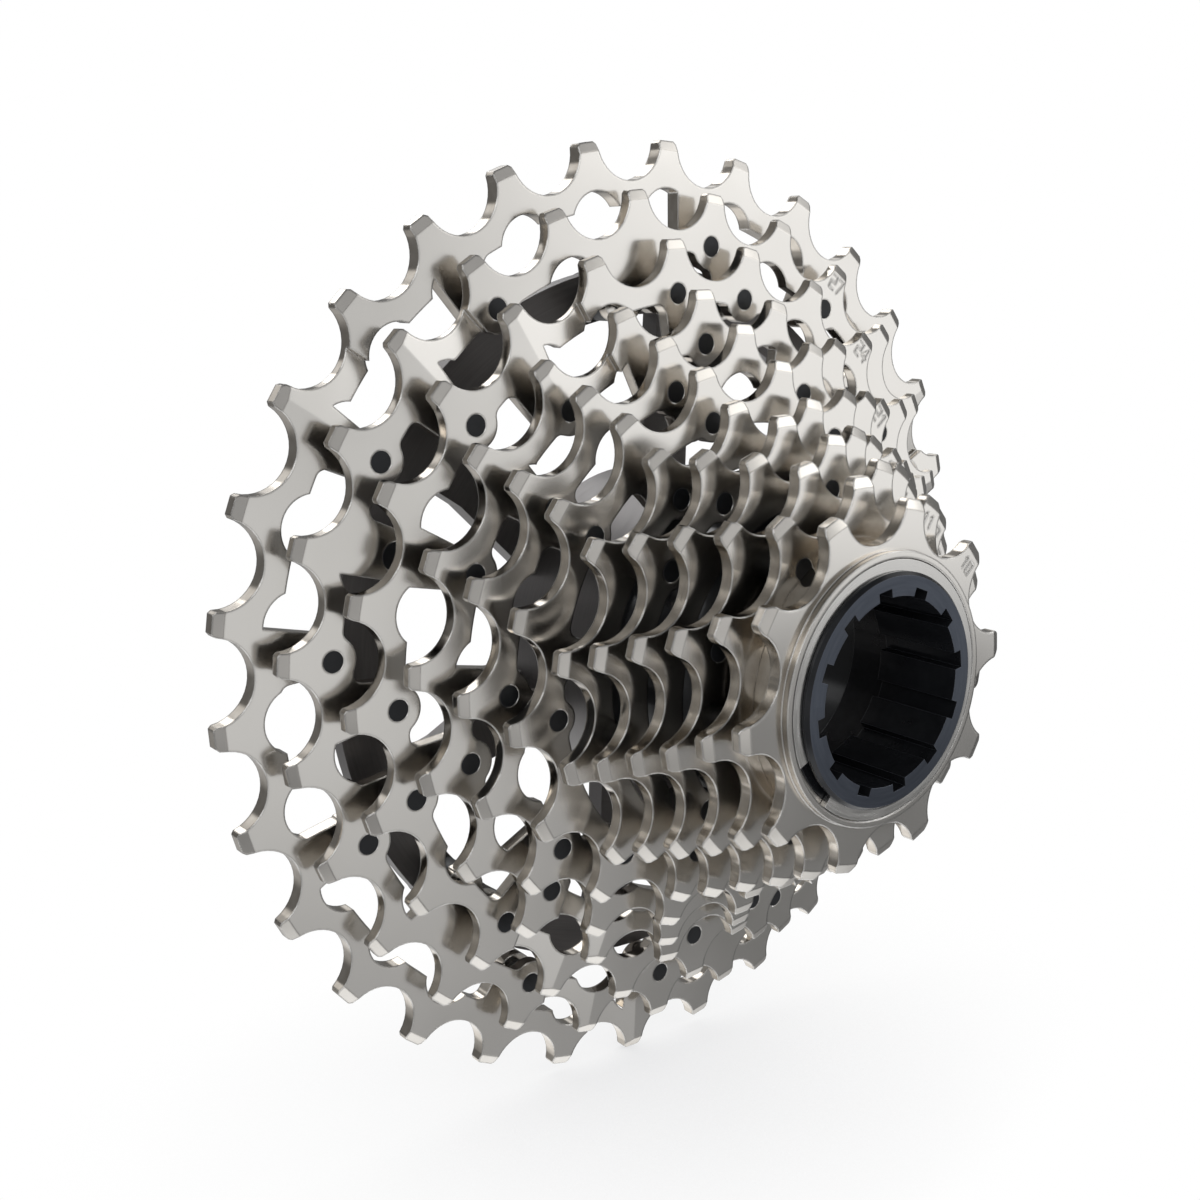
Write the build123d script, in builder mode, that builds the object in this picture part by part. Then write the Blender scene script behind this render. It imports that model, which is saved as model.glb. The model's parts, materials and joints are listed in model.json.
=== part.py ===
from build123d import *
import os
from math import atan2, cos, degrees, hypot, pi, radians, sin

os.makedirs("parts", exist_ok=True)

# Twelve-speed bicycle cassette.  The axis runs along Y: Y = 0 is the outer
# face of the largest plate, the smaller plates stack toward -Y, the wheel
# side is +Y and +Z is up.  Angles are counted from +X toward +Z.

# ---- driving dimensions (mm, degrees) ----
chain_pitch = 12.7
root_drop = 3.85
tip_rise = 1.1
tip_width = 2.8
tip_corner = 0.35
tip_slope_len = 1.2
tip_slope_depth = 0.5
gullet_r = 5.1
gullet_half = 72
plate_t = 1.6
largest_plate_t = 2.0
step_y = 3.65
rim_w = 2.6
largest_rim_w = 3.0
scallop_rim_w = 0.8
scallop_r = 3.9
scallop_least_teeth = 19
pin_drop = 5.4
pin_r = 1.25
pin_waist_r = 1.75
fit = 0.02
numeral_w = 0.95
numeral_h = 1.9
numeral_line = 0.26
numeral_depth = 0.12

# teeth on each plate, angle of its first tooth, tooth numbers that carry a
# pin to the next larger plate, tooth that carries the numeral if any does
plates = [
    (30, 6.3, [], None),
    (27, 5.0, [0, 2, 4, 6, 9, 11, 13, 15, 18, 20, 22, 24], 4),
    (24, 5.5, [0, 2, 5, 6, 9, 12, 13, 15, 18, 19, 22], 3),
    (21, 8.1, [1, 5, 7, 9, 11, 13, 16, 18, 20], 2),
    (19, 13.2, [1, 3, 5, 7, 9, 11, 14, 16], 1),
    (17, 20.0, [0, 2, 4, 6, 8, 10, 12, 14], 1),
    (15, 7.0, [0, 2, 5, 7, 10, 12], 1),
    (14, 18.0, [1, 4, 5, 7, 11, 12], 1),
    (13, 2.4, [0, 3, 8, 10, 12], 1),
    (12, 14.5, [1, 5, 8, 10], 1),
    (11, 27.4, [0, 3, 5, 8, 10], 1),
    (10, 8.0, [], 1),
]

# numerals as strokes on a one by two grid
strokes = {
    "0": [(0, 0), (0, 2), (1, 2), (1, 0), (0, 0)],
    "1": [(0.2, 1.6), (0.6, 2), (0.6, 0)],
    "2": [(0, 2), (1, 2), (1, 1), (0, 1), (0, 0), (1, 0)],
    "3": [(0, 2), (1, 2), (0.5, 1.15), (1, 1), (1, 0), (0, 0)],
    "4": [(0.8, 0), (0.8, 2), (0, 0.7), (1.1, 0.7)],
    "5": [(1, 2), (0, 2), (0, 1), (1, 1), (1, 0), (0, 0)],
    "7": [(0, 2), (1, 2), (0.4, 0)],
    "9": [(1, 1), (0, 1), (0, 2), (1, 2), (1, 0), (0, 0)],
}

# shift bevels: plate index -> teeth whose outer face slopes away clockwise
bevels = {0: [2, 12, 22], 1: [1, 10, 19], 2: [0, 8, 16], 3: [0, 7, 14]}
bevel_len = 8.5
bevel_depth = 0.9

# hub carrier
carrier_ring_out = 46.5
carrier_ring_in = 40.5
carrier_front = 1.4
carrier_t = 2.2
carrier_arms = 6
carrier_arm_first = 25
carrier_arm_w = 6.0
carrier_hub_r = 20.5
carrier_hub_front = -13.5
carrier_hub_back = 5.0
spline_count = 9
spline_tip_r = 17.0
spline_root_r = 18.0
spline_width = 2.6
tube_seat_r = 18.4
tube_seat_depth = 3.0

# rivets between the carrier and the 27-tooth plate
rivet_circle = 43.3
rivet_first = 43
rivet_r = 1.7
rivet_collar_r = 2.8
rivet_head_r = 3.2
rivet_head_t = 0.9

# lock tube and the smallest plate
tube_front = -41.8
tube_back = -11.0
nose_r = 13.7
body_r = 14.2
neck_r = 14.85
skirt_r = 18.3
notch_count = 12
notch_first = 12
notch_w = 2.1
notch_root_r = 12.0
notch_tip_r = 11.0
relief_r = 13.0
thread_r = 16.46
mouth_r = 14.3
collar_r = 15.9
collar_front = -41.05
ring_seat_r = 15.1
ring_seat_y = -40.2
spigot_r = 15.55


def pitch_r(teeth):
    return chain_pitch / 2 / sin(pi / teeth)


def spot(r, angle):
    return (r * cos(radians(angle)), r * sin(radians(angle)))


def pin_circle(teeth):
    return pitch_r(teeth) - pin_drop


def pin_angles(index):
    teeth, first, pins, _ = plates[index]
    return [first + 360 / teeth * n for n in pins]


def tooth_outline(teeth, first):
    """Face bounded by the toothed edge."""
    root = pitch_r(teeth) - root_drop
    centre = root + gullet_r
    tip = pitch_r(teeth) + tip_rise
    half = 360 / teeth / 2
    side_half = degrees(tip_width / 2 / tip)
    flat_half = degrees((tip_width / 2 - tip_corner) / tip)
    arc_x = centre - gullet_r * cos(radians(gullet_half))
    arc_y = gullet_r * sin(radians(gullet_half))
    with BuildLine() as edge:
        for n in range(teeth):
            turn = first + half + 2 * half * n
            c, s = cos(radians(turn)), sin(radians(turn))
            start = (arc_x * c + arc_y * s, arc_x * s - arc_y * c)
            end = (arc_x * c - arc_y * s, arc_x * s + arc_y * c)
            Line(spot(tip - tip_corner, turn - half + side_half), start)
            ThreePointArc(start, spot(root, turn), end)
            Polyline(
                end,
                spot(tip - tip_corner, turn + half - side_half),
                spot(tip, turn + half - flat_half),
                spot(tip, turn + half + flat_half),
                spot(tip - tip_corner, turn + half + side_half),
            )
    return make_face(edge.edges(), mode=Mode.PRIVATE)


def boss_shape(r, angle, boss, reach, spread):
    """Round boss with a wide foot that reaches out to the rim."""
    foot = Polygon(
        (0, -boss), (reach - r, -spread), (reach - r, spread), (0, boss),
        align=None, mode=Mode.PRIVATE,
    )
    shape = Circle(boss, mode=Mode.PRIVATE) + foot
    return Rot(0, 0, angle) * Pos(r, 0) * shape


def web_hole(index, bosses, rounding):
    """Open middle of a plate: a circle less the bosses with its corners
    rounded, then scalloped under each tooth that has no pin."""
    teeth, first, pins, _ = plates[index]
    root = pitch_r(teeth) - root_drop
    reach = root - scallop_rim_w
    hole = Circle(root - (rim_w if index else largest_rim_w), mode=Mode.PRIVATE)
    for r, angle, boss, spread in bosses:
        hole -= boss_shape(r, angle, boss, reach + 1, spread)
    hole = offset(hole, amount=-rounding, kind=Kind.ARC, mode=Mode.PRIVATE)
    hole = offset(hole, amount=rounding, kind=Kind.ARC, mode=Mode.PRIVATE)
    if teeth < scallop_least_teeth:
        return hole
    for n in range(teeth):
        if n not in pins:
            angle = first + 360 / teeth * n
            hole += Pos(*spot(reach - scallop_r, angle)) * Circle(scallop_r, mode=Mode.PRIVATE)
    for r, angle, boss, spread in bosses:
        hole -= boss_shape(r, angle, boss - 0.15, reach + 1, spread - 0.15)
    return hole.faces().sort_by(SortBy.AREA)[-1]


def front_of(index):
    return -step_y * index


def thickness(index):
    return plate_t if index else largest_plate_t


def plate_bosses(index):
    teeth = plates[index][0]
    bosses = []
    if index > 0:
        size = 2.9 if teeth > 18 else 2.3
        for angle in pin_angles(index):
            bosses.append((pin_circle(teeth), angle, size, size + 1.5))
    inner = plates[index + 1][0]
    size = 2.6 if inner > 16 else 1.9
    for angle in pin_angles(index + 1):
        bosses.append((pin_circle(inner), angle, size, size + 1.2))
    if index == 1:
        for n in range(carrier_arms):
            bosses.append((rivet_circle, rivet_first + 60 * n, 3.0, 3.6))
    return bosses


def drill_plate(index):
    """Pin holes of a plate, cut in the sketch that is open."""
    teeth = plates[index][0]
    for angle in pin_angles(index):
        with Locations(spot(pin_circle(teeth), angle)):
            Circle(pin_r + fit, mode=Mode.SUBTRACT)
    if index + 1 < len(plates):
        for angle in pin_angles(index + 1):
            with Locations(spot(pin_circle(plates[index + 1][0]), angle)):
                Circle(pin_r + fit, mode=Mode.SUBTRACT)
    if index == 1:
        for n in range(carrier_arms):
            with Locations(spot(rivet_circle, rivet_first + 60 * n)):
                Circle(rivet_r + fit, mode=Mode.SUBTRACT)


def cut_bevels(index):
    """Slope the outer face away beside the teeth that help shifting."""
    teeth, first, _, _ = plates[index]
    for n in bevels.get(index, []):
        angle = radians(first + 360 / teeth * n)
        start = pitch_r(teeth) - 14
        base = Plane(
            origin=(start * cos(angle), front_of(index), start * sin(angle)),
            x_dir=(sin(angle), 0, -cos(angle)),
            z_dir=(cos(angle), 0, sin(angle)),
        )
        with BuildSketch(base) as slope:
            Polygon(
                (0, -0.4), (bevel_len, -0.4), (bevel_len, bevel_depth), (0, 0),
                align=None,
            )
        extrude(slope.sketch, amount=18, mode=Mode.SUBTRACT)


def slope_tips(index):
    """Thin the tooth tips with a shallow cone on their outer face."""
    tip = pitch_r(plates[index][0]) + tip_rise
    front = front_of(index)
    inner = tip - tip_slope_len
    with BuildSketch(Plane.XY) as wedge:
        Polygon(
            (inner, front), (tip, front + tip_slope_depth),
            (tip + 1, front + tip_slope_depth), (tip + 1, front - 0.2), (inner, front - 0.2),
            align=None,
        )
    revolve(wedge.sketch, axis=Axis.Y, mode=Mode.SUBTRACT)


def engrave_numeral(index):
    """Tooth count cut into the face of one tooth, top of the digits outward."""
    teeth, first, _, n = plates[index]
    angle = first + 360 / teeth * n
    x, z = spot(pitch_r(teeth) - 2.4, angle)
    size = 1.0 if teeth > 20 else 0.75
    with BuildSketch(Plane.XZ.offset(-front_of(index))) as numeral:
        for place, digit in enumerate(str(teeth)):
            path = strokes[digit]
            for (x0, y0), (x1, y1) in zip(path, path[1:]):
                mid_x = (x0 + x1) / 2 * numeral_w + (place * 1.55 - 1.25) * numeral_w
                mid_y = (y0 + y1) / 4 * numeral_h
                span_x = (x1 - x0) * numeral_w
                span_y = (y1 - y0) / 2 * numeral_h
                turn = degrees(atan2(span_y, span_x))
                length = hypot(span_x, span_y) + numeral_line
                bar = Rectangle(length * size, numeral_line * size, mode=Mode.PRIVATE)
                bar = Pos(mid_x * size, mid_y * size) * Rot(0, 0, turn) * bar
                add(Pos(x, z) * Rot(0, 0, angle - 90) * bar)
    extrude(numeral.sketch, amount=-numeral_depth, mode=Mode.SUBTRACT)


# ---- toothed plates, all but the smallest ----
for index in range(11):
    teeth, first, _, _ = plates[index]
    with BuildPart() as plate:
        with BuildSketch(Plane.XZ.offset(-front_of(index) - thickness(index))):
            add(tooth_outline(teeth, first))
            if teeth == 11:
                Circle(spigot_r + 0.01, mode=Mode.SUBTRACT)
            elif teeth == 12:
                Circle(neck_r + 0.4, mode=Mode.SUBTRACT)
            else:
                add(web_hole(index, plate_bosses(index), 1.2), mode=Mode.SUBTRACT)
            drill_plate(index)
        extrude(amount=thickness(index))
        cut_bevels(index)
        slope_tips(index)
        if plates[index][3] is not None:
            engrave_numeral(index)
    plate.part.label = f"sprocket_{teeth}"
    export_step(plate.part, f"parts/sprocket_{teeth}.step")

# ---- smallest plate: teeth, mouth collar and the spigot behind it ----
with BuildPart() as smallest:
    with BuildSketch(Plane.XZ.offset(-front_of(11) - plate_t)):
        add(tooth_outline(10, plates[11][1]))
        Circle(mouth_r, mode=Mode.SUBTRACT)
    extrude(amount=plate_t)
    with BuildSketch(Plane.XZ.offset(-front_of(11))):
        Circle(collar_r)
        Circle(ring_seat_r, mode=Mode.SUBTRACT)
    extrude(amount=front_of(11) - collar_front)
    with BuildSketch(Plane.XZ.offset(-ring_seat_y)):
        Circle(ring_seat_r)
        Circle(mouth_r, mode=Mode.SUBTRACT)
    extrude(amount=1, mode=Mode.SUBTRACT)
    with BuildSketch(Plane.XZ.offset(-front_of(11) - plate_t)):
        Circle(spigot_r + 1.0)
        Circle(mouth_r, mode=Mode.SUBTRACT)
    extrude(amount=-(step_y - plate_t))
    with BuildSketch(Plane.XZ.offset(-front_of(10))):
        Circle(spigot_r)
        Circle(mouth_r, mode=Mode.SUBTRACT)
    extrude(amount=-plate_t)
    slope_tips(11)
    engrave_numeral(11)
smallest.part.label = "sprocket_10"
export_step(smallest.part, "parts/sprocket_10.step")

# ---- pins between neighbouring plates ----
for index in range(1, 11):
    teeth = plates[index][0]
    outer = plates[index - 1][0]
    circle = pin_circle(teeth)
    front = -front_of(index)
    outer_t = thickness(index - 1)
    with BuildPart() as pins:
        for angle in pin_angles(index):
            with BuildSketch(Plane.XZ.offset(front - step_y - outer_t)):
                with Locations(spot(circle, angle)):
                    Circle(pin_r)
            extrude(amount=step_y + outer_t)
            with BuildSketch(Plane.XZ.offset(front - step_y)):
                with Locations(spot(circle, angle)):
                    Circle(pin_waist_r)
            extrude(amount=step_y - plate_t)
    pins.part.label = f"pins_{outer}_{teeth}"
    export_step(pins.part, f"parts/pins_{outer}_{teeth}.step")

# ---- hub carrier: ring, arms and splined hub ----
with BuildPart() as carrier:
    with BuildSketch(Plane.XZ.offset(-carrier_front - carrier_t)):
        Circle(carrier_ring_out)
        Circle(carrier_ring_in, mode=Mode.SUBTRACT)
        for n in range(carrier_arms):
            with Locations(spot(rivet_circle, rivet_first + 60 * n)):
                Circle(rivet_r + fit, mode=Mode.SUBTRACT)
    extrude(amount=carrier_t)
    with BuildSketch(Plane.XZ.offset(-carrier_hub_back + 0.8)):
        for n in range(carrier_arms):
            with Locations(Location((0, 0, 0), (0, 0, carrier_arm_first + 60 * n))):
                Polygon(
                    (19, -4.6), (34, -3.0), (41.5, -3.6), (41.5, 3.6), (34, 3.0), (19, 4.6),
                    align=None,
                )
        Circle(spline_root_r + 1, mode=Mode.SUBTRACT)
    extrude(amount=carrier_hub_back - 0.8 - carrier_front)
    with BuildSketch(Plane.XZ.offset(-carrier_hub_back)):
        Circle(carrier_hub_r)
        Circle(spline_tip_r, mode=Mode.SUBTRACT)
    extrude(amount=carrier_hub_back - carrier_hub_front)
    with BuildSketch(Plane.XZ.offset(-carrier_hub_back)):
        with PolarLocations((spline_tip_r + spline_root_r) / 2, spline_count):
            Rectangle(spline_root_r - spline_tip_r + 0.4, spline_width)
    extrude(amount=carrier_hub_back - carrier_hub_front, mode=Mode.SUBTRACT)
    with BuildSketch(Plane.XZ.offset(-carrier_hub_front)):
        Circle(tube_seat_r)
    extrude(amount=-tube_seat_depth, mode=Mode.SUBTRACT)
carrier.part.label = "hub_carrier"
export_step(carrier.part, "parts/hub_carrier.step")

# ---- rivets that hold the carrier ----
with BuildPart() as rivets:
    back = carrier_front + carrier_t
    for n in range(carrier_arms):
        centre = spot(rivet_circle, rivet_first + 60 * n)
        with BuildSketch(Plane.XZ.offset(-back - rivet_head_t)):
            with Locations(centre):
                Circle(rivet_head_r)
        extrude(amount=rivet_head_t)
        with BuildSketch(Plane.XZ.offset(-back)):
            with Locations(centre):
                Circle(rivet_r)
        extrude(amount=back + step_y)
        with BuildSketch(Plane.XZ.offset(-carrier_front)):
            with Locations(centre):
                Circle(rivet_collar_r)
        extrude(amount=carrier_front + step_y - plate_t)
rivets.part.label = "carrier_rivets"
export_step(rivets.part, "parts/carrier_rivets.step")

# ---- lock tube: notched mouth, neck and threaded skirt ----
with BuildPart() as tube:
    with BuildSketch(Plane.XY):
        with BuildLine():
            Polyline(
                (notch_tip_r, tube_front),
                (nose_r - 0.4, tube_front),
                (nose_r, tube_front + 0.4),
                (nose_r, -41.08),
                (13.0, -41.08),
                (13.0, -40.14),
                (body_r, -40.14),
                (body_r, -33.6),
                (neck_r, -33.2),
                (neck_r, -31.0),
                (skirt_r, -24.5),
                (skirt_r, tube_back),
                (thread_r + 0.4, tube_back),
                (thread_r, tube_back - 0.4),
                (thread_r, -23.6),
                (relief_r, -24.4),
                (relief_r, -30.5),
                (notch_tip_r, -30.5),
                close=True,
            )
        make_face()
    revolve(axis=Axis.Y)
    with BuildSketch(Plane.XZ.offset(-tube_front)):
        for n in range(notch_count):
            with Locations(Location((0, 0, 0), (0, 0, notch_first + 30 * n))):
                with Locations((notch_root_r - 0.8, 0)):
                    Rectangle(1.6, notch_w)
    extrude(amount=-11.3, mode=Mode.SUBTRACT)
tube.part.label = "lock_tube"
export_step(tube.part, "parts/lock_tube.step")

# ---- open retaining ring in the groove of the tube ----
with BuildPart() as ring:
    with BuildSketch(Plane.XZ.offset(-ring_seat_y + 0.02)):
        Circle(15.0)
        Circle(13.1, mode=Mode.SUBTRACT)
        with Locations(Location((0, 0, 0), (0, 0, 220))):
            Polygon((0, 0), (20, -4.6), (20, 4.6), align=None, mode=Mode.SUBTRACT)
    extrude(amount=0.8)
ring.part.label = "retaining_ring"
export_step(ring.part, "parts/retaining_ring.step")
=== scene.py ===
import json
import math

import bpy
from mathutils import Matrix, Vector


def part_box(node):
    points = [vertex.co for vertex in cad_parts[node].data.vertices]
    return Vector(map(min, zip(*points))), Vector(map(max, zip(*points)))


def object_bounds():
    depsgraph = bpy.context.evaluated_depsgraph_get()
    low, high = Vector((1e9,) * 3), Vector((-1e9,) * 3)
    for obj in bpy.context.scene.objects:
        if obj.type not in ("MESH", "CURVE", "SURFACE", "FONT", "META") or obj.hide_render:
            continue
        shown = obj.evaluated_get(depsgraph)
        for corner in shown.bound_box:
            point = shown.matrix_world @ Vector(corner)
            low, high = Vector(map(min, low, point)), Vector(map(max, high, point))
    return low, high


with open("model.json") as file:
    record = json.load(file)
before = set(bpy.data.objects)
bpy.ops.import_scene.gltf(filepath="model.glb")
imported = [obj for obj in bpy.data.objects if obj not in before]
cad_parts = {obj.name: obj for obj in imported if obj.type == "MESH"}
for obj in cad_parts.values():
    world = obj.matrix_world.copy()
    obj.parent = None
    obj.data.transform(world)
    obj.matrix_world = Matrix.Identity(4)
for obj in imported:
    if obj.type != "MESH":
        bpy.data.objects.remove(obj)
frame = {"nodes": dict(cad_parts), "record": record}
cad_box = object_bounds()
nodes = frame["nodes"]
scene = bpy.context.scene
scene.view_settings.view_transform = "Standard"

MM = 0.001
MARK_STRETCH = 0.0012  # metres of noise per radian: low, so that lathe marks run long


# ---- shader graph helper ----
class Graph:
    """Node tree of a material or world. Values that are sockets are linked, others are set."""

    def __init__(self, owner):
        owner.use_nodes = True
        self.owner = owner
        self.tree = owner.node_tree
        self.tree.nodes.clear()

    def add(self, kind, inputs=None, out=0, **props):
        n = self.tree.nodes.new("ShaderNode" + kind)
        for key, value in props.items():
            setattr(n, key, value)
        for key, value in (inputs or {}).items():
            if isinstance(value, bpy.types.NodeSocket):
                self.tree.links.new(value, n.inputs[key])
            else:
                n.inputs[key].default_value = value
        return n.outputs[out] if n.outputs else n

    def math(self, operation, a, b=0.0):
        return self.add("Math", {0: a, 1: b}, operation=operation)

    def ramp(self, value, low, high, to_low=0.0, to_high=1.0):
        """Smooth step from to_low to to_high while value goes from low to high."""
        span = {"From Min": low, "From Max": high, "To Min": to_low, "To Max": to_high}
        return self.add("MapRange", {"Value": value, **span}, interpolation_type="SMOOTHSTEP")

    def mix(self, factor, a, b):
        """Colour between a and b."""
        n = self.tree.nodes.new("ShaderNodeMix")
        n.data_type = "RGBA"
        for socket, value in ((n.inputs[0], factor), (n.inputs[6], a), (n.inputs[7], b)):
            if isinstance(value, bpy.types.NodeSocket):
                self.tree.links.new(value, socket)
            else:
                socket.default_value = value
        return n.outputs[2]

    def blend(self, factor, a, b):
        """Number between a and b."""
        keep = self.math("MULTIPLY", a, self.math("SUBTRACT", 1.0, factor))
        return self.math("ADD", keep, self.math("MULTIPLY", b, factor))

    def noise(self, vector, scale, detail=3.0):
        return self.add("TexNoise", {"Vector": vector, "Scale": scale, "Detail": detail})

    def position(self):
        return self.add("TexCoord", out="Object")

    def axis(self, vector, name):
        return self.add("SeparateXYZ", {0: vector}, out=name)

    def true_normal(self):
        return self.add("NewGeometry", out="True Normal")

    def facing_axis(self):
        """1 on the flat faces square to the axle, 0 on tooth flanks and bores."""
        along = self.math("ABSOLUTE", self.axis(self.true_normal(), "Y"))
        return self.ramp(along, 0.80, 0.97)

    def rings(self, position):
        """Coordinates that run round the axle, so that noise on them turns into lathe marks."""
        x, y, z = (self.axis(position, a) for a in "XYZ")
        squares = self.math("ADD", self.math("MULTIPLY", x, x), self.math("MULTIPLY", z, z))
        along = self.math("MULTIPLY", self.math("ARCTAN2", z, x), MARK_STRETCH)
        return self.add("CombineXYZ", {"X": self.math("SQRT", squares), "Y": y, "Z": along})

    def edge_rounding_and_masks(self, radius):
        """Normal rounded at the edges, mask of the edges, mask of the thin line next to them.
        The materials use the masks to paint highlights and shade along the edges, partly as
        wear.
        """
        rounded = self.add("Bevel", {"Radius": radius}, samples=4)
        both = {0: rounded, 1: self.true_normal()}
        along = self.add("VectorMath", both, out="Value", operation="DOT_PRODUCT")
        crest = self.ramp(along, 0.92, 0.82)
        off_crest = self.math("SUBTRACT", 1.0, crest)
        foot = self.math("MULTIPLY", self.ramp(along, 0.998, 0.96), off_crest)
        return rounded, crest, foot

    def bump(self, height, strength, distance, normal):
        relief = {"Strength": strength, "Distance": distance, "Height": height, "Normal": normal}
        return self.add("Bump", relief)

    def finish(self, **inputs):
        shader = self.add("BsdfPrincipled", {k.replace("_", " "): v for k, v in inputs.items()})
        self.add("OutputMaterial", {"Surface": shader})
        return self.owner


def rgb(r, g, b):
    return (r, g, b, 1.0)


WHITE = rgb(1.0, 1.0, 1.0)


# ---- materials ----
# Noise scales are per metre.
def plated_steel(name):
    """Nickel plate: satin faces, polished flanks painted darker and browner as shade, painted
    shade in the crevices, a bright line along every edge that is partly wear and partly a
    painted highlight, and a painted dark shade line next to it.
    """
    g = Graph(bpy.data.materials.new(name))
    where = g.position()
    face = g.facing_axis()
    cloud = g.noise(where, 90.0, 2.0)
    streak = g.noise(where, 650.0, 4.0)
    rounded, edge, edge_shade_line = g.edge_rounding_and_masks(0.36 * MM)
    crevice_shade_reach = 3.5 * MM
    face_colour = g.mix(cloud, rgb(0.70, 0.68, 0.645), rgb(0.79, 0.77, 0.74))
    # Painted shade: flanks and bores are coloured darker and browner than the faces, for the
    # darker room they reflect.
    shaded_flank_colour = g.mix(streak, rgb(0.40, 0.355, 0.30), rgb(0.72, 0.68, 0.62))
    colour = g.mix(face, shaded_flank_colour, face_colour)
    # Painted shade: crevices, gullets and the gaps between plates are coloured darker and
    # browner by ambient occlusion.
    open_sky = g.add("AmbientOcclusion", {"Distance": crevice_shade_reach}, out="AO", samples=4)
    painted_crevice_shade = g.mix(streak, rgb(0.30, 0.26, 0.21), rgb(0.66, 0.60, 0.52))
    colour = g.mix(g.ramp(open_sky, 0.05, 0.62), painted_crevice_shade, colour)
    # Painted shade and highlight: a dark line next to each edge and a bright line on it; the
    # bright line is partly edge wear.
    colour = g.mix(g.math("MULTIPLY", edge_shade_line, 0.85), colour, rgb(0.09, 0.08, 0.07))
    colour = g.mix(edge, colour, rgb(0.95, 0.94, 0.92))
    rough = g.math("ADD", g.math("MULTIPLY", cloud, 0.08), g.ramp(face, 0.0, 1.0, 0.07, 0.15))
    return g.finish(
        Base_Color=colour,
        Metallic=1.0,
        Roughness=rough,
        Normal=g.bump(g.noise(where, 9000.0, 1.0), 0.02, 0.01 * MM, rounded),
    )


def oxide_steel(name):
    """Black oxide on pins and rivets, with a bluish cast and a paler rim that is partly rubbed
    wear and partly a painted highlight.
    """
    g = Graph(bpy.data.materials.new(name))
    where = g.position()
    mottle = g.noise(where, 900.0)
    rounded, edge, _ = g.edge_rounding_and_masks(0.10 * MM)
    colour = g.mix(mottle, rgb(0.009, 0.010, 0.012), rgb(0.024, 0.026, 0.030))
    # Painted highlight, partly rubbed wear: the rim is lightened along the edges.
    colour = g.mix(g.math("MULTIPLY", edge, 0.35), colour, rgb(0.22, 0.22, 0.24))
    return g.finish(
        Base_Color=colour,
        Metallic=0.35,
        Roughness=g.ramp(mottle, 0.2, 0.8, 0.34, 0.52),
        Normal=g.bump(mottle, 0.15, 0.02 * MM, rounded),
    )


def dark_anodised(name):
    """Brown-grey anodised aluminium with fine marks turned round the axle."""
    g = Graph(bpy.data.materials.new(name))
    where = g.position()
    turned = g.noise(g.rings(where), 4200.0, 4.0)
    cloud = g.noise(where, 70.0, 2.0)
    rounded, edge, _ = g.edge_rounding_and_masks(0.15 * MM)
    colour = g.mix(turned, rgb(0.115, 0.109, 0.108), rgb(0.215, 0.206, 0.204))
    colour = g.mix(g.math("MULTIPLY", cloud, 0.4), colour, rgb(0.140, 0.134, 0.135))
    # Painted highlight, partly edge wear: the edges are lightened toward pale grey.
    colour = g.mix(g.math("MULTIPLY", edge, 0.5), colour, rgb(0.30, 0.29, 0.29))
    return g.finish(
        Base_Color=colour,
        Metallic=0.75,
        Roughness=g.ramp(turned, 0.2, 0.8, 0.36, 0.50),
        Normal=g.bump(turned, 0.10, 0.02 * MM, rounded),
    )


def black_anodised(name):
    """Lock tube: blue-grey turned front face, glossy black inside and along the body."""
    g = Graph(bpy.data.materials.new(name))
    where = g.position()
    turned = g.noise(g.rings(where), 3000.0, 3.0)
    mottle = g.noise(where, 500.0)
    rounded, edge, _ = g.edge_rounding_and_masks(0.12 * MM)
    front_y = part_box("lock_tube")[0].y
    skin = 0.15 * MM
    near_front = g.math("LESS_THAN", g.axis(where, "Y"), front_y + skin)
    at_front = g.math("MULTIPLY", g.facing_axis(), near_front)
    colour = g.mix(mottle, rgb(0.010, 0.011, 0.013), rgb(0.032, 0.034, 0.039))
    front_colour = g.mix(turned, rgb(0.060, 0.070, 0.092), rgb(0.105, 0.120, 0.150))
    colour = g.mix(at_front, colour, front_colour)
    # Painted highlight, partly edge wear: the edges are lightened toward pale blue-grey.
    colour = g.mix(g.math("MULTIPLY", edge, 0.45), colour, rgb(0.26, 0.28, 0.33))
    return g.finish(
        Base_Color=colour,
        Metallic=g.ramp(at_front, 0.0, 1.0, 0.25, 0.75),
        Roughness=g.ramp(at_front, 0.0, 1.0, 0.14, 0.30),
        Anisotropic=g.math("MULTIPLY", at_front, 0.75),
        Tangent=g.add("Tangent", direction_type="RADIAL", axis="Y"),
        Normal=g.bump(turned, 0.12, 0.015 * MM, rounded),
    )


def spring_steel(name):
    """Bright drawn wire of the retaining ring."""
    g = Graph(bpy.data.materials.new(name))
    where = g.position()
    drawn = g.noise(g.rings(where), 2500.0, 2.0)
    rounded, edge, _ = g.edge_rounding_and_masks(0.08 * MM)
    colour = g.mix(drawn, rgb(0.60, 0.59, 0.57), rgb(0.80, 0.79, 0.77))
    # Painted highlight, partly edge wear: the edges are lightened toward near white.
    colour = g.mix(edge, colour, rgb(0.94, 0.93, 0.92))
    return g.finish(
        Base_Color=colour,
        Metallic=1.0,
        Roughness=g.ramp(drawn, 0.2, 0.8, 0.18, 0.30),
        Normal=g.bump(drawn, 0.05, 0.015 * MM, rounded),
    )


makers = {
    "plated_steel": plated_steel,
    "dark_pin_steel": oxide_steel,
    "dark_anodised_aluminium": dark_anodised,
    "black_anodised_aluminium": black_anodised,
    "spring_steel": spring_steel,
}
looks = {slot: make(slot) for slot, make in makers.items()}
for part in frame["record"]["subparts"]:
    mesh = nodes[part["node"]].data
    mesh.materials.clear()
    mesh.materials.append(looks[part["material_slot"]])

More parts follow.
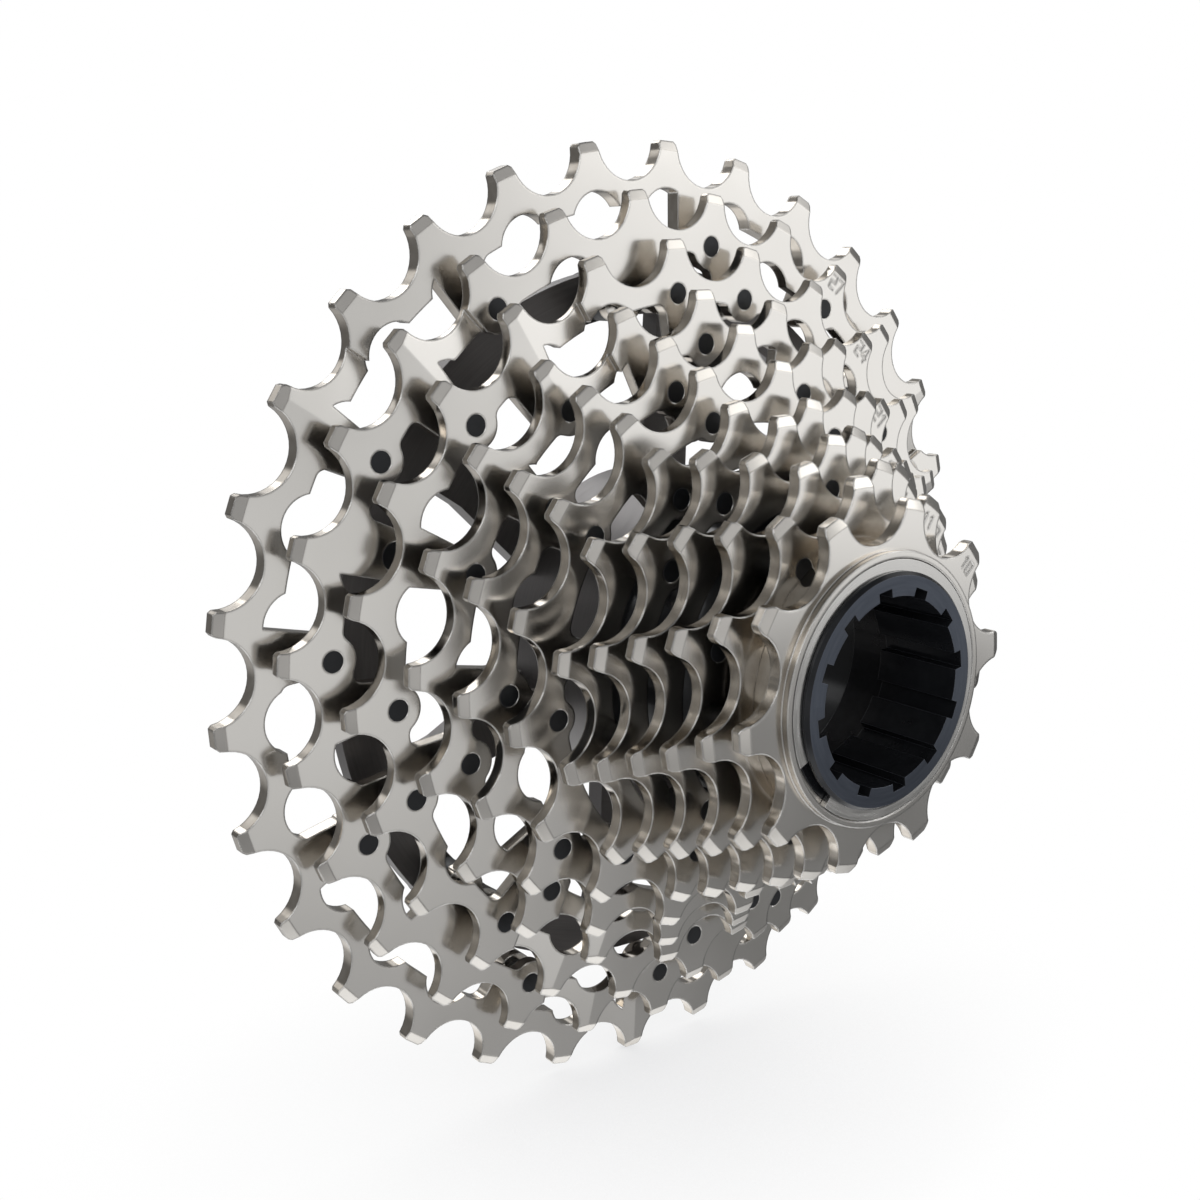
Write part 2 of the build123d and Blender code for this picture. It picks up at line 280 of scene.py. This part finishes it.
# ---- floor ----
# The camera sees a plain pale floor that glows white, with a soft contact shadow painted in from
# ambient occlusion. Reflections look through it to the studio, so that the lower plates pick up
# the darker side of the room.
floor_gap = 0.4 * MM
floor_half = 4.0
shadow_reach = 45.0 * MM
floor_z = cad_box[0].z - floor_gap
corners = [(-1, -1), (1, -1), (1, 1), (-1, 1)]
floor_mesh = bpy.data.meshes.new("floor")
floor_mesh.from_pydata(
    [(x * floor_half, y * floor_half, floor_z) for x, y in corners], [], [(0, 1, 2, 3)]
)
floor = bpy.data.objects.new("floor", floor_mesh)
scene.collection.objects.link(floor)
g = Graph(bpy.data.materials.new("floor"))
seen = g.add("LightPath", out="Is Camera Ray")
# Painted shadow: the floor's glow is darkened by ambient occlusion near the cassette.
openness = g.add("AmbientOcclusion", {"Distance": shadow_reach}, out="AO", samples=8)
pale = g.add("Emission", {"Color": g.mix(openness, rgb(0.70, 0.70, 0.71), WHITE)})
unseen = g.add("BsdfTransparent")
g.add("OutputMaterial", {"Surface": g.add("MixShader", {0: seen, 1: unseen, 2: pale})})
floor_mesh.materials.append(g.owner)

# ---- studio ----
# Brightness by direction, where rise and across are the direction's Z and X. In front: an even
# grey room that dims to the left, a bright panel on the right with a darker band under it, dark
# beyond the panel and straight overhead, and a bright sweep below. Behind: dark at the height
# of the cassette, bright below and in a band above. The plate faces reflect the front, the
# tooth flanks the rear.
scene.world = bpy.data.worlds.new("studio")
g = Graph(scene.world)
toward = g.add("TexCoord", out="Generated")
rise = g.axis(toward, "Z")
across = g.axis(toward, "X")
rightward = g.ramp(across, 0.49, 0.65)
rearward = g.ramp(g.axis(toward, "Y"), 0.05, 0.35)
left_fade = g.ramp(rise, -0.20, -0.05, 0.0, 0.17)
left_room = g.math("SUBTRACT", g.ramp(rise, -0.50, -0.25, 0.38, 0.76), left_fade)
left_room = g.math("MULTIPLY", left_room, g.ramp(across, -0.35, 0.10, 0.60, 1.0))
right_room = g.ramp(rise, -0.26, -0.12, 0.19, 1.10)
right_room = g.math("MULTIPLY", right_room, g.ramp(across, 0.84, 0.93, 1.0, 0.15))
front_room = g.blend(rightward, left_room, right_room)
front_room = g.math("MULTIPLY", front_room, g.ramp(rise, 0.34, 0.56, 1.0, 0.70))
front_room = g.math("MULTIPLY", front_room, g.ramp(rise, 0.70, 0.82, 1.0, 0.17))
front_room = g.math("ADD", front_room, g.ramp(rise, -0.80, -0.62, 0.75, 0.0))
front_room = g.math("MULTIPLY", front_room, g.ramp(rise, -0.95, -0.89, 0.50, 1.0))
band_fade = g.ramp(rise, 0.44, 0.55, 1.0, 0.15)
rear_band = g.math("MULTIPLY", g.ramp(rise, 0.28, 0.36, 0.0, 0.80), band_fade)
rear_sweep = g.ramp(rise, -0.66, -0.53, 0.70, 0.0)
rear_floor = g.math("ADD", rear_sweep, g.ramp(rise, -0.50, -0.22, 0.48, 0.18))
rear_room = g.math("ADD", rear_floor, rear_band)
room = g.blend(rearward, front_room, rear_room)
seen = g.add("LightPath", out="Is Camera Ray")
level = g.blend(seen, room, 1.0)
sky = g.add("Background", {"Color": WHITE, "Strength": level})
g.add("OutputWorld", {"Surface": sky})


def softbox(name, place, size, watts, colour=(1.0, 1.0, 1.0)):
    """A square area light at place, facing the middle of the cassette."""
    lamp = bpy.data.lights.new(name, "AREA")
    lamp.size = size
    lamp.energy = watts
    lamp.color = colour
    obj = bpy.data.objects.new(name, lamp)
    obj.location = place
    obj.rotation_mode = "QUATERNION"
    obj.rotation_quaternion = Vector(place).to_track_quat("Z", "Y")
    scene.collection.objects.link(obj)


softbox("key", (0.62, -0.60, 0.42), size=0.50, watts=0.7, colour=(1.0, 0.985, 0.955))
softbox("fill", (-0.75, -0.45, 0.55), size=0.60, watts=1.2)
softbox("rim", (0.10, 0.70, 0.65), size=0.50, watts=2.0)

# ---- camera ----
view_azimuth = math.radians(-38.8186)
view_elevation = math.radians(11.3018)
view_roll = math.radians(2.1031)
view_distance = 192.897 * MM
aim_right = 6.748 * MM
aim_up = -3.007 * MM
near_limit = 10.0 * MM
focal_length = 43.247  # lens and sensor, in millimetres as Blender takes them
sensor_width = 36.0

sa, ca = math.sin(view_azimuth), math.cos(view_azimuth)
se, ce = math.sin(view_elevation), math.cos(view_elevation)
back = Vector((sa * ce, -ca * ce, se))
level_right = Vector((ca, sa, 0.0))
level_up = Vector((-sa * se, ca * se, ce))
right = math.cos(view_roll) * level_right + math.sin(view_roll) * level_up
up = -math.sin(view_roll) * level_right + math.cos(view_roll) * level_up

lens = bpy.data.cameras.new("camera")
lens.sensor_width = sensor_width
lens.lens = focal_length
lens.clip_start = near_limit
camera = bpy.data.objects.new("camera", lens)
scene.collection.objects.link(camera)
stand = view_distance * back - aim_right * right - aim_up * up
turn = Matrix((right, up, back)).transposed().to_4x4()
camera.matrix_world = Matrix.Translation(stand) @ turn
scene.camera = camera
